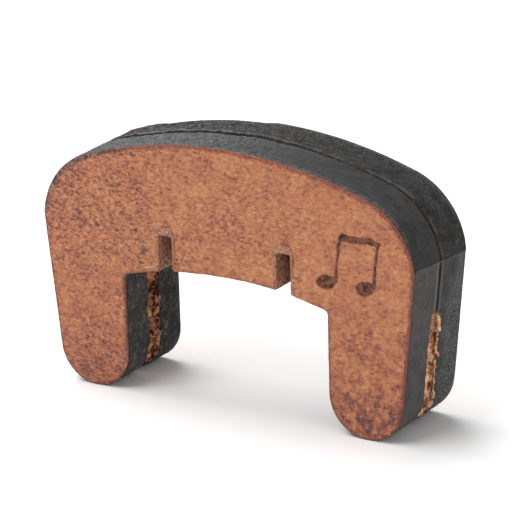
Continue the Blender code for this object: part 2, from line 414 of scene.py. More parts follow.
def pinch(x, z, bare):
    """How the bare edge's border is pressed down, most round the string notches.

    Returns the drop of the face, the share of the pressed border, the dark fold that bounds it
    round the notch, and the pale crease that bounds it on the notch's lower left.
    """
    dx = notch_offset(x)
    near = 1 - smooth(np.abs(dx), 0.9, 2.3)
    left = smooth(-dx, -0.2, 0.5)
    top_z = notch_top(x)
    top = smooth(z - top_z, -0.45, 0.15) * (1 - smooth(np.abs(dx), 0.65, 1.05))
    side = PINCH_RIGHT + (PINCH_LEFT - PINCH_RIGHT) * left
    width = PINCH_PLAIN + near * (side + (PINCH_TOP - side) * top - PINCH_PLAIN)
    p = at(x, z, 0)
    width = width * (1 + 0.18 * fractal(p * 1.9, 15, 2))
    part = np.clip(1 - bare / width, 0, 1)
    share = smooth(part, 0.0, 0.12) * (0.30 + 0.28 * near + 0.42 * near * top)

    arch, radius = arch_circle()
    under = np.hypot(x - arch[0], z - arch[1]) - radius
    beside = -dx - NOTCH_HALF
    taper = (1 - smooth(-dx, LOW_FADE, LOW_REACH)) * (beside > -0.3)
    lip = (LOW_LIP + LOW_HOOK * np.exp(-np.maximum(beside, 0.0) / 0.22)) * taper
    lip = lip * (1 + 0.10 * fractal(p * 2.3, 17, 2)) + 1e-6
    low = np.clip(1 - under / lip, 0, 1) * (taper > 0)
    drop = (PLAIN_DEPTH + (PINCH_DEPTH - PLAIN_DEPTH) * near) * part ** 1.6
    drop = np.maximum(drop, 0.9 * PINCH_DEPTH * low)
    share = np.maximum(share, 0.60 * smooth(low, 0.0, 0.15) * smooth(taper, 0.0, 0.3))

    worn = smooth(value_noise(p * 1.3, 16), -0.5, 0.3)
    right_top = near * smooth(dx, -0.6, 0.1) * smooth(z - top_z, -2.2, -0.6)
    flank = near * smooth(dx, 0.2, 0.6)
    strength = np.maximum(right_top, (0.35 + 0.35 * flank) * worn * (taper == 0))
    strength = np.maximum(strength, 0.6 * worn * (np.abs(x) < 4.2))
    fold = np.exp(-(((bare - width - 0.04) / 0.090) ** 2)) * strength
    reach = (1 - smooth(-dx, LOW_FADE, LOW_FADE + 0.5)) * (1 - 0.75 * smooth(x, -1.0, 1.0))
    crease = np.exp(-(((under - lip) / 0.040) ** 2)) * reach * (beside > -0.3)
    return drop + 0.04 * fold - 0.03 * crease, share, fold, crease


def face_relief(x, z, side, edge):
    """Height of the grain face over its flat plane."""
    p = at(x, z, 30.0 * side)
    height = 0.018 * fractal(p / 3.4, 11, 2) + 0.012 * fractal(p * (1.1, 2.3, 1), 12, 3)
    torn = smooth(fractal(p * 1.6, 14, 3), 0.0, 0.5)
    return height - (0.02 + 0.03 * torn) * (1 - smooth(edge, 0.0, 0.35))


def slot_half(x, z, side):
    """Distance of a slot wall's mouth from the seam plane; at the right, the rear one closes in."""
    right = smooth(x, 0, 5)
    p = at(x * 0.5, z * 0.7, 5.0 * side)
    wander = 0.07 * fractal(p, 26, 2)
    if side < 0:
        return SLOT_FRONT - wander
    swell = 0.12 + 0.24 * smooth(6.0 - z, 0.0, 1.8) + 0.24 * smooth(z, 7.4, 9.4)
    return SLOT_REAR - swell * right - wander


def seam_half(x):
    """Half the width of the crack between the plies."""
    return SEAM_LEFT + (SEAM_RIGHT - SEAM_LEFT) * smooth(x, 2.0, 10.0)


TUFT_SWELL = 0.34


def jaw_relief(x, z, side):
    """How far the raw fibres of a slot wall stand into the slot."""
    p = at(x, z, 12.0 * side)
    lumps = smooth(fractal(p * (2.3, 1.9, 1), 21, 3), -0.35, 0.60)
    strands = smooth(fractal(p * (2.9, 1.1, 1), 27, 3), -0.40, 0.60)
    fine = fractal(p * (3.9, 3.4, 1), 23, 3)
    return np.where(x < 0, -0.20 + 0.58 * lumps, -0.12 + 0.46 * strands) + 0.14 * fine


def tuft_relief(points, side, depth):
    """How far raw tufts at a slot's mouth swell through the black finish; depth is from the mouth."""
    reach = 0.42 - 0.12 * smooth(points[:, 0], -4.0, 4.0)
    p = points + (0, 40.0 * side, 0)
    lumps = smooth(fractal(p * (1.5, 1.8, 1.5), 61, 2), -0.05, 0.50)
    high = smooth(points[:, 2], 0.8, 2.0) * (1 - smooth(points[:, 2], ROOF_Z - 0.9, ROOF_Z - 0.2))
    return TUFT_SWELL * lumps * high * (1 - smooth(depth, 0.05, reach))


def cut_relief(x, y, z, coarse):
    """Roughness of a raw or dyed cut edge; coarse is 0 to 1."""
    p = at(x, y, z)
    return (0.012 + 0.024 * coarse) * fractal(p * 2.6, 31, 3) + 0.012 * fractal(p * 5.5, 34, 2)


# ---- Rounded edge profile of a ply --------------------------------------------
FACE_RIM, BARE_RIM = 0.12, 0.08
BARE_SEAM, SLOT_SEAM = 0.10, 0.14
SEAM_ROUND = {-1: (0.13, 0.07), 1: (0.34, 0.10)}  # on the left crown and on the right side


class Profile:
    """Where a ply's surface runs from its face, round the rim, down the cut edge, to the seam."""

    def __init__(self, side):
        self.side = side
        bare = softened(outline.bare.astype(float))
        self.rim = FACE_RIM + (BARE_RIM - FACE_RIM) * bare
        wide, tight = SEAM_ROUND[side]
        seam = wide + (tight - wide) * smooth(outline.p[:, 0], -2.0, 10.0)
        seam = seam + (BARE_SEAM - seam) * bare
        self.seam = np.where(outline.leg, SLOT_SEAM, seam)
        self.seam_t = np.where(outline.leg, slot_half(*outline.p.T, side), seam_half(outline.p[:, 0]))

    def growth(self, t):
        """How far the hand-cut edge lies outside the outline; the difference grows towards the rear."""
        return outline.uneven * (self.side * t / FACE_T + 1) / 2

    def row(self, zone, value):
        """One row of points: (inset, t, share of the outline normal, share of the face normal)."""
        one = np.ones(len(outline.p))
        if zone == "wall":
            start, end = FACE_T - self.rim, self.seam_t + self.seam
            return 0 * one, start + (end - start) * value, one, 0 * one
        out, up = math.sin(math.radians(value)), math.cos(math.radians(value))
        if zone == "rim":
            return self.rim * (1 - out), FACE_T - self.rim * (1 - up), one * out, one * up
        return self.seam * (1 - out), self.seam_t + self.seam * (1 - up), one * out, -one * up

    def place(self, zone, value):
        """3-D points and normals of one row."""
        inset, t, out, up = self.row(zone, value)
        flat = outline.p - outline.n * (inset - self.growth(t))[:, None]
        return in_space(flat, self.side * t), in_space(outline.n * out[:, None], self.side * up)


# ---- Mesh helpers -----------------------------------------------------------
def new_object(name, data):
    """An object in the scene, made of a mesh, a light or a camera."""
    made = bpy.data.objects.new(name, data)
    bpy.context.scene.collection.objects.link(made)
    return made


def make_piece(name, points, faces, attributes, material, node=None):
    """A mesh piece in metres, with its values at the points; node is the CAD node it stands for."""
    mesh = bpy.data.meshes.new(name)
    mesh.from_pydata((np.asarray(points) * MM).tolist(), [], faces)
    for key, values in attributes.items():
        layer = mesh.attributes.new(key, "FLOAT", "POINT")
        layer.data.foreach_set("value", np.asarray(values, np.float32))
    mesh.materials.append(material)
    mesh.update()
    mesh.shade_smooth()
    piece = new_object(name, mesh)
    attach(piece, "root")
    if node:
        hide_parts(node)


def grid_faces(first, rows, columns, closed, flip):
    """Quads between rows of points that are numbered row by row from first."""
    faces = []
    last = columns if closed else columns - 1
    for r in range(rows - 1):
        base, above = first + r * columns, first + (r + 1) * columns
        for c in range(last):
            d = (c + 1) % columns
            quad = (base + c, base + d, above + d, above + c)
            faces.append(quad[::-1] if flip else quad)
    return faces


def hex_points(low, high, spacing):
    """A triangular lattice of points over a rectangle, shaken a little so that no rows show."""
    xs = np.arange(low[0], high[0], spacing)
    zs = np.arange(low[1], high[1], spacing * 0.866)
    gx, gz = np.meshgrid(xs, zs)
    gx = gx + (np.arange(len(zs)) % 2)[:, None] * spacing / 2
    points = at(gx.ravel(), gz.ravel())
    cells = np.round(points / spacing * 4).astype(np.int64)
    shake = at(*[hashed(cells[:, 0], cells[:, 1], axis, 5) for axis in (0, 1)])
    return points + (shake - 0.5) * spacing * 0.3


def fill(ring, inner):
    """Triangles that join a closed ring of 2-D points to the points inside it.

    Returns triangles as indices into ring followed by inner.
    """
    points = [Vector(q) for q in np.concatenate([ring, inner])]
    loop = list(range(len(ring)))
    made = delaunay_2d_cdt(points, [], [loop], 1, 1e-7)
    source = [ids[0] if ids else -1 for ids in made[3]]
    faces = []
    for face in made[2]:
        corners = tuple(source[v] for v in face)
        if -1 not in corners and len(set(corners)) == 3:
            faces.append(corners)
    return faces


# ---- Plies ------------------------------------------------------------------
RIM_ANGLES = (0, 22, 45, 67, 90)
WALL_SHARES = (0.015, 0.035, 0.06, 0.09, *np.linspace(0.13, 0.78, 11), *np.linspace(0.80, 0.98, 10))
PLY_ROWS = [("rim", a) for a in RIM_ANGLES]
PLY_ROWS += [("wall", share) for share in WALL_SHARES]
PLY_ROWS += [("seam", a) for a in reversed(RIM_ANGLES)]
FAR = 2.0                           # stands for a distance at which no edge shows
MOUTH_DEPTH = 0.75                  # the raw look of a slot wall reaches this far round its mouth
COVERED_SINK = 0.05                 # the leather lies this far under the black finish
COAT_BORDER = 0.09                  # mean distance from a face's rim to the black finish


def face_points():
    """Interior points of a ply's grain face, denser round the notches and the mark."""
    coarse = hex_points((-CORNER_X, 0), (CORNER_X, HEIGHT), STEP * 1.1)
    x, z = coarse.T
    low, high, reach, split = 10.5, NOTCH_TOP_RIGHT + 1.0, 1.9, 12.9
    notch = (np.abs(np.abs(x) - NOTCH_X) < reach) & (z > low) & (z < high)
    mark = (np.abs(x - MARK_X) < MARK_HALF) & (np.abs(z - MARK_Z) < MARK_HALF)
    kept = [coarse[~(notch | mark)]]
    for centre in (-NOTCH_X, NOTCH_X):
        fine = hex_points((centre - reach, low), (centre + reach, high), FINE_STEP * 1.1)
        kept.append(fine[(fine[:, 0] > centre - NOTCH_HALF) | (fine[:, 1] > split)])
        kept.append(hex_points((centre - reach, low), (centre - NOTCH_HALF, split), FINE_STEP * 0.8))
    corners = [(MARK_X + sign * MARK_HALF, MARK_Z + sign * MARK_HALF) for sign in (-1, 1)]
    kept.append(hex_points(*corners, FINE_STEP))
    points = np.concatenate(kept)
    return points[outline.contains(points)]


def edge_rows(side, profile):
    """Rings of points from the face's rim down the cut edge to the seam, with three values each."""
    rings, shares, tufts, outs = [], [], [], []
    for zone, value in PLY_ROWS:
        inset, t, out, up = profile.row(zone, value)
        base, normal = profile.place(zone, value)
        on_rim = zone == "rim"
        from_face = FACE_T - profile.rim - t
        covered = smooth(from_face, COAT_BORDER, COAT_BORDER + 0.15)
        covered = np.where(outline.bare | on_rim, 0.0, covered)
        raw = np.where(outline.bare, 1.0, 0.25)
        lift = cut_relief(*base.T, 0.8) * raw * out - COVERED_SINK * covered * out
        tuft = tuft_relief(base, side, t - profile.seam_t) * outline.leg * (not on_rim)
        lift = lift + tuft * out
        drop, share, _, _ = pinch(*outline.p.T, inset if on_rim else 0 * inset)
        fade = {"rim": 1.0, "wall": (1 - value) ** 4, "seam": 0.0}[zone]
        if on_rim:
            lift = lift + face_relief(base[:, 0], base[:, 2], side, inset) * up
        ring = base + normal * lift[:, None]
        ring[:, 1] -= side * np.where(outline.bare, drop * fade, 0.0)
        rings.append(ring)
        shares.append(np.where(outline.bare & on_rim, share, 0.0))
        tufts.append(tuft)
        outs.append(out)
    steps = len(RIM_ANGLES)
    for k, ring in enumerate(rings[-steps:]):
        eased = 1 - (steps - 1 - k) / steps
        ring[:, 1] -= side * (jaw_relief(ring[:, 0], ring[:, 2], side) * eased * outline.leg)
    return rings, np.concatenate(shares), np.concatenate(tufts), np.concatenate(outs)


def row_values(side, profile, rings, shares, tufts, outs):
    """Values that colour the rim and the cut edge."""
    points = np.concatenate(rings)
    rows = len(rings)
    flats = [ring[:, [0, 2]] for ring in rings]
    bare, leg = np.tile(outline.bare, rows), np.tile(outline.leg, rows)
    past_rim = np.arange(len(points)) >= len(RIM_ANGLES) * len(outline.p)
    from_mouth = np.abs(points[:, 1]) - np.tile(profile.seam_t, rows)
    mouth = leg & past_rim & (from_mouth < MOUTH_DEPTH)
    raw = np.where(bare, smooth(outs, 0.15, 0.8), 0.0)
    from_face = np.maximum(FACE_T - FACE_RIM - np.abs(points[:, 1]), 0.0)
    dye = 0.35 * smooth(outs, 0.2, 1.0) + 0.65 * smooth(from_face, 0.0, 0.15)
    relief = np.where(mouth, jaw_relief(points[:, 0], points[:, 2], side), 0.0)
    return {
        "edge": np.concatenate([outline.edge_distance(flat, ~outline.bare) for flat in flats]),
        "bare": np.concatenate([outline.edge_distance(flat, outline.bare) for flat in flats]),
        "raw": np.where(mouth, 1.0, raw),
        "dye": np.where(bare | mouth, 0.0, dye),
        "slot": np.where(mouth, 1.0, 0.0),
        "relief": relief + 1.2 * tufts,
        "pinch": shares,
    }


def grain_face(side):
    """Points inside the grain face's rim, flat and in space, and the values that colour them."""
    inner = face_points()
    rim_clear = 0.06
    edge = outline.edge_distance(inner, ~outline.bare)
    bare = outline.edge_distance(inner, outline.bare)
    ok = (edge > FACE_RIM + rim_clear) & (bare > BARE_RIM + rim_clear)
    inner, edge, bare = inner[ok], edge[ok], bare[ok]
    drop, share, fold, crease = pinch(inner[:, 0], inner[:, 1], bare)
    height = face_relief(inner[:, 0], inner[:, 1], side, edge) - drop
    burn = np.zeros(len(inner))
    if side < 0:
        d = mark_distance(inner[:, 0], inner[:, 1])
        burn = 1 - smooth(d, -0.06, 0.07)
        height = height - MARK_DEPTH * (1 - smooth(d, -0.14, 0.06))
    points = in_space(inner, side * (FACE_T + height))
    values = {"edge": edge, "bare": bare, "burn": burn, "pinch": share, "fold": fold, "crease": crease}
    return inner, points, values


def seam_face(side):
    """Points of the slot walls and of the seam over them, and the values that colour them."""
    jaw = hex_points((-CORNER_X, 0), (CORNER_X, ROOF_Z), JAW_STEP)
    crown = hex_points((-CORNER_X, ROOF_Z), (CORNER_X, HEIGHT), HIDDEN_STEP)
    jaw = jaw[jaw[:, 1] < ROOF_Z - 0.06]
    crown = crown[crown[:, 1] > ROOF_Z + 0.5]
    inside = np.concatenate([jaw, crown, roof_rows()])
    inside = inside[outline.contains(inside)]
    near = outline.edge_distance(inside, np.ones(len(outline.p), bool))
    room = np.where(inside[:, 1] < ROOF_Z, SLOT_SEAM + 0.07, SEAM_ROUND[side][0] + 0.1)
    inside = inside[near > room]
    is_jaw = inside[:, 1] < ROOF_Z
    into = np.where(is_jaw, jaw_relief(inside[:, 0], inside[:, 1], side), 0.0)
    t = np.where(is_jaw, slot_half(*inside.T, side) - into, seam_half(inside[:, 0]))
    values = {"edge": FAR, "bare": FAR, "raw": 1, "slot": is_jaw, "relief": into}
    return inside, in_space(inside, side * t), values


def build_ply(side, name, node, material):
    """One leather ply: grain face, rounded rims, cut edges and the raw walls of its slots."""
    profile = Profile(side)
    rings, *row_data = edge_rows(side, profile)
    inner, face_xyz, face_values = grain_face(side)
    inside, seam_xyz, seam_values = seam_face(side)
    count, rows = len(outline.p), len(rings)
    faces = grid_faces(0, rows, count, True, side > 0)
    last_row, face_first = (rows - 1) * count, rows * count
    seam_first = face_first + len(face_xyz)
    for tri in fill(rings[0][:, [0, 2]], inner):
        ids = tuple(v if v < count else face_first + v - count for v in tri)
        faces.append(ids if side > 0 else ids[::-1])
    for tri in fill(rings[-1][:, [0, 2]], inside):
        ids = tuple(last_row + v if v < count else seam_first + v - count for v in tri)
        faces.append(ids[::-1] if side > 0 else ids)
    parts = (np.concatenate(rings), face_xyz, seam_xyz)
    values = (row_values(side, profile, rings, *row_data), face_values, seam_values)
    attributes = {}
    for key in ("edge", "bare", "raw", "dye", "burn", "slot", "relief", "pinch", "fold", "crease"):
        columns = [np.zeros(len(part)) + value.get(key, 0) for part, value in zip(parts, values)]
        attributes[key] = np.concatenate(columns)
    make_piece(name, np.concatenate(parts), faces, attributes, material, node)


def roof_rows():
    """Points just under and just over the slots' roofs, which keep each roof's edge straight."""
    across = np.arange(-CORNER_X, CORNER_X, JAW_STEP)
    rows = np.concatenate([at(across, level) for level in ROOF_LEVELS])
    return rows[np.abs(rows[:, 0]) > LEG_INNER_X - 0.5]


# ---- Black finish on the cut edges --------------------------------------------
COAT_SHARES = (*np.linspace(0.96, 0.12, 20), 0.095, 0.075, 0.058, 0.043, 0.030, 0.018, 0.006)
COAT_ROWS = [("seam", a) for a in (10, 30, 50, 70, 90)]
COAT_ROWS += [("wall", share) for share in COAT_SHARES]
COAT_ROWS += [("rim", 90)]
BACK_ROWS = (len(COAT_ROWS) - 1, 24, 12, 0)  # the rows that the shell's inner side follows
COAT_BACK = 0.14                    # the shell's inner side lies this far under its outer side
COAT_RELIEF = {-1: (0.3, 0.012, 0.020), 1: (1.0, 0.006, 0.045)}  # roughness, streaks and crown nap
COAT_LIFT = 0.015
COAT_SINK = 0.10
CREASE_TILT = 0.5                   # rise of the shoulder crease from the rear to the front


def coated_path():
    """Outline indices from the left leg's inner corner over the crown to the right one's."""
    ids = np.nonzero(~outline.bare)[0]
    first_left = ids[np.nonzero(np.diff(ids) > 1)[0][0] + 1]
    start = int(np.nonzero(ids == first_left)[0][0])
    return np.concatenate([ids[start:], ids[:start]])


def coat_rows(side, profile, path, s):
    """The shell's outer rows and the values that colour them; s is the distance along the path."""
    p, leg, seam_t = outline.p[path], outline.leg[path], profile.seam_t[path]
    end_fade = smooth(s, 0.0, 0.25) * smooth(s[-1] - s, 0.0, 0.25)
    outer_side = np.abs(p[:, 0]) > LEG_INNER_X + 2.5
    ragged = at(s, 0, side)
    border = COAT_BORDER + 0.07 * value_noise(ragged * (1.6, 1, 1), 43)
    border = border + 0.09 * value_noise(ragged * (5.0, 1, 1), 44)
    mouth = 0.01 + 0.12 * value_noise(ragged * (1.9, 1, 1), 45)
    mouth = mouth + 0.06 * value_noise(ragged * (5.5, 1, 1), 46)
    frayed = value_noise(ragged * (5.5, 1, 1), 49)
    coarse, streaked, napped = COAT_RELIEF[side]
    rows, values = [], {"along": [], "across": [], "crease": [], "lower": []}
    for row in COAT_ROWS:
        base, normal = (a[path] for a in profile.place(*row))
        t = np.abs(base[:, 1])
        streaky = at(s * 0.55, t * 5.0, 3.0 * side)
        lift = COAT_LIFT + cut_relief(*base.T, coarse)
        lift = lift + streaked * fractal(streaky, 41, 2)
        fibrous = smooth(base[:, 2], 16.0, 19.0) * smooth(-base[:, 0], -8.0, 4.0)
        lift = lift + napped * fibrous * fractal(base * (2.6, 2.2, 2.6), 48, 3)
        lip = np.exp(-np.maximum(t - seam_t - 0.05, 0.0) / 0.22) * ~leg
        lift = lift + 0.045 * lip * frayed * smooth(-base[:, 0], -11.0, -2.0)
        crease_z = CORNER_Z - side * CREASE_TILT / 2 * (t / FACE_T)
        crease_z = crease_z + 0.05 * value_noise(streaky * (1, 0.2, 1), 47)
        crease = np.exp(-np.abs(base[:, 2] - crease_z) / 0.09) * (np.abs(p[:, 0]) > CORNER_X - 0.6)
        lift = lift + 0.10 * crease
        from_rim = FACE_T - profile.rim[path] - t
        lift = lift - COAT_SINK * (1 - smooth(from_rim, border - 0.04, border + 0.04))
        lift = lift - COAT_SINK * (1 - smooth(t - seam_t, mouth - 0.05, mouth + 0.04)) * leg
        lift = lift * end_fade - COAT_SINK * (1 - end_fade)
        rows.append(base + normal * lift[:, None])
        values["along"].append(s)
        values["across"].append(t * side)
        values["crease"].append(crease)
        values["lower"].append(smooth(crease_z - base[:, 2], -0.05, 0.15) * outer_side)
    return rows, values


def build_coat(side, name, node, material):
    """The black finish of one ply: a thin closed shell whose ragged borders sink into the leather."""
    profile = Profile(side)
    path = coated_path()
    s = distances_along(outline.p[path])
    rows, values = coat_rows(side, profile, path, s)
    hidden = {"along": s, "across": 0 * s + 2.0 * side, "crease": 0 * s, "lower": 0 * s}
    for k in BACK_ROWS:
        base, normal = (a[path] for a in profile.place(*COAT_ROWS[k]))
        rows.append(base - normal * COAT_BACK)
        for key, value in hidden.items():
            values[key].append(value)
    count, last = len(path), (len(rows) - 1) * len(path)
    faces = grid_faces(0, len(rows), count, False, side > 0)
    for c in range(count - 1):
        quad = (last + c, last + c + 1, c + 1, c)
        faces.append(quad[::-1] if side > 0 else quad)
    for column in (0, count - 1):
        cap = range(column, len(rows) * count, count)
        faces.append(tuple(cap if (column == 0) == (side < 0) else cap[::-1]))
    attributes = {key: np.concatenate(parts) for key, parts in values.items()}
    make_piece(name, np.concatenate(rows), faces, attributes, material, node)


def build_glue(material):
    """The dried glue, seen at the bottom of the groove between the plies."""
    crown = outline.p[:, 1] > ROOF_Z - 1e-6
    ragged = value_noise(at(outline.s * 1.9, 0, 0), 51)
    rim = np.where(outline.bare, 0.22, GLUE_SETBACK + 0.18 * ragged)
    ring = (outline.p - outline.n * rim[:, None])[crown]
    kept = [ring[0]]
    for q in ring[1:]:
        if np.linalg.norm(q - kept[-1]) > 0.09:
            kept.append(q)
    ring = np.array(kept)
    ring[:, 1] = np.maximum(ring[:, 1], ROOF_Z + 0.02)
    count = len(ring)
    points = np.concatenate([np.insert(ring, 1, y, axis=1) for y in (-GLUE_T, GLUE_T)])
    faces = grid_faces(0, 2, count, True, False)
    for tri in fill(ring, np.empty((0, 2))):
        faces.append(tri[::-1])
        faces.append(tuple(v + count for v in tri))
    make_piece("glue_seam", points, faces, {}, material, "glue_film")


# ---- Loose fibres -----------------------------------------------------------
LOOSE_FIBRES, TUFTS, TUFT_FIBRES = 260, 9, 9
TUFT_FLOOR = 1.5                    # no tufts below this height
FIBRE_FLOOR = 1.2                   # and no loose fibres below this one
FLOOR_ROOM = 0.02                   # fibres bend flat this far over the ground
ROOT_DEPTH = 0.02                   # the nap's roots lie this far under the black edge's outline


def strand_mesh(name, roots, heads, lengths, radii, curl, seed, slot, material, sides=4, joints=5):
    """Tapered curved fibres as one mesh; each fibre is its own closed tube."""
    rng = np.random.default_rng(seed)
    count = len(roots)
    heads = heads / np.linalg.norm(heads, axis=1)[:, None]
    sideways = np.cross(heads, rng.normal(size=(count, 3)))
    sideways = sideways / np.linalg.norm(sideways, axis=1)[:, None]
    third = np.cross(heads, sideways)
    bend = (rng.random(count) * 2 - 1) * curl
    twist = rng.random(count) * 2 * math.pi
    rings = []
    for j in range(joints + 1):
        t = j / joints
        centre = roots + heads * (lengths * t)[:, None]
        centre = centre + sideways * (lengths * bend * t * t)[:, None]
        centre = centre + third * (lengths * 0.14 * curl * np.sin(t * 5 + twist))[:, None]
        radius = radii * (1 - 0.85 * t ** 1.5)
        for k in range(sides):
            a = 2 * math.pi * k / sides
            rings.append(centre + (sideways * math.cos(a) + third * math.sin(a)) * radius[:, None])
    points = np.stack(rings, 1).reshape(-1, 3)
    points[:, 2] = np.maximum(points[:, 2], FLOOR_ROOM)
    per = (joints + 1) * sides
    tube = grid_faces(0, joints + 1, sides, True, False)
    tube += [range(sides)[::-1], range(joints * sides, per)]
    faces = [tuple(first + v for v in face) for first in range(0, count * per, per) for face in tube]
    tone = np.repeat(rng.random(count), per)
    tip = np.tile(np.repeat(np.arange(joints + 1) / joints, sides), count)
    make_piece(name, points, faces, {"tone": tone, "tip": tip}, material)


def slot_fibres(name, leg_side, seed, material):
    """Raw fibres that stand out of one leg's slot walls, thickest round the slot's mouths."""
    rng = np.random.default_rng(seed)
    ids = np.nonzero(outline.leg & (outline.p[:, 0] * leg_side > 0))[0]
    high_ids = ids[outline.p[ids, 1] > TUFT_FLOOR]
    ids = ids[outline.p[ids, 1] > FIBRE_FLOOR]
    roots, heads = [], []
    for _ in range(LOOSE_FIBRES):
        i = ids[rng.integers(len(ids))]
        side = -1 if rng.random() < 0.5 else 1
        depth = rng.random() ** 1.6 * 1.4
        flat = outline.p[i] - outline.n[i] * depth
        y = side * (slot_half(flat[0], flat[1], side) - 0.02 - 0.12 * rng.random())
        roots.append((flat[0], y, flat[1]))
        out = rng.normal(0.55, 0.45)
        lean = rng.normal(0, 0.65)
        flat_dir = outline.n[i] * out + outline.along[i] * lean
        heads.append((flat_dir[0], -side * abs(rng.normal(0.55, 0.4)), flat_dir[1]))
    loose = len(roots)
    for _ in range(TUFTS):
        i = high_ids[rng.integers(len(high_ids))]
        side = -1 if rng.random() < 0.35 else 1
        flat = outline.p[i] - outline.n[i] * 0.05
        y = side * slot_half(flat[0], flat[1], side)
        tangent = outline.along[i]
        lean = rng.normal(0, 0.8)
        reach = rng.uniform(0.05, 0.22)
        for _ in range(int(TUFT_FIBRES * rng.uniform(0.5, 1.3))):
            spot = flat + tangent * rng.normal(0, reach) - outline.n[i] * 0.08 * rng.random()
            flat_dir = outline.n[i] * rng.normal(0.35, 0.20) + tangent * rng.normal(lean, 0.5)
            roots.append((spot[0], y - side * 0.10 * rng.random(), spot[1]))
            heads.append((flat_dir[0], side * rng.normal(0.45, 0.35), flat_dir[1]))
    count = len(roots)
    tuft = np.arange(count) >= loose
    tuft_length = 0.12 + 0.34 * rng.random(count) ** 2
    loose_length = 0.25 + 0.55 * rng.random(count) ** 1.7
    tuft_radius = 0.022 + 0.02 * rng.random(count)
    loose_radius = 0.028 + 0.035 * rng.random(count)
    lengths = np.where(tuft, tuft_length, loose_length)
    radii = np.where(tuft, tuft_radius, loose_radius)
    place = (np.array(roots), np.array(heads), lengths, radii)
    strand_mesh(name, *place, 0.7, seed + 1, "leather_fibre", material)


def edge_fuzz(name, side, number, seed, material):
    """Short dyed fibres that stand up from one ply's blackened edge."""
    rng = np.random.default_rng(seed)
    profile = Profile(side)
    path = coated_path()
    ids = path[rng.integers(len(path), size=number)]
    share = rng.random(number)
    t = np.where(
        rng.random(number) < 0.35,
        profile.seam_t[ids] + 0.1 + 0.3 * share,
        profile.seam_t[ids] + 0.15 + (FACE_T - 0.35 - profile.seam_t[ids]) * share,
    )
    out, tangent = in_space(outline.n[ids], 0), in_space(outline.along[ids], 0)
    roots = in_space(outline.p[ids], side * t) - out * ROOT_DEPTH
    heads = out * (0.25 + 0.5 * rng.random(number))[:, None]
    heads = heads + tangent * rng.normal(0, 0.7, number)[:, None]
    heads[:, 1] += rng.normal(0, 0.5, number)
    lengths = 0.10 + 0.22 * rng.random(number) ** 2
    radii = 0.010 + 0.010 * rng.random(number)
    strand_mesh(name, roots, heads, lengths, radii, 0.8, seed + 1, "black_edge", material, 3, 3)


# ---- Materials --------------------------------------------------------------
class Value:
    """A node's output in a shader tree, with arithmetic and an eased ramp."""

    def __init__(self, shader, socket):
        self.shader, self.socket = shader, socket

    def __add__(self, other):
        return self.shader.math("ADD", self, other)

    def __radd__(self, other):
        return self.shader.math("ADD", other, self)

    def __sub__(self, other):
        return self.shader.math("SUBTRACT", self, other)

    def __rsub__(self, other):
        return self.shader.math("SUBTRACT", other, self)

    def __mul__(self, other):
        return self.shader.math("MULTIPLY", self, other)

    def __pow__(self, other):
        return self.shader.math("POWER", self, other)

    def __abs__(self):
        return self.shader.math("ABSOLUTE", self)

    def larger(self, other):
        return self.shader.math("MAXIMUM", self, other)

    def varied(self, noise, amount):
        """This value with a centred noise added to it."""
        return self + (noise - 0.5) * amount

    def step(self, low, high):
        """0 at low and 1 at high, eased between; low may be the larger."""
        ends = {"From Min": min(low, high), "From Max": max(low, high)}
        ends["To Min"], ends["To Max"] = float(low > high), float(low <= high)
        return self.shader.node("MapRange", 0, {"Value": self, **ends}, interpolation_type="SMOOTHSTEP")


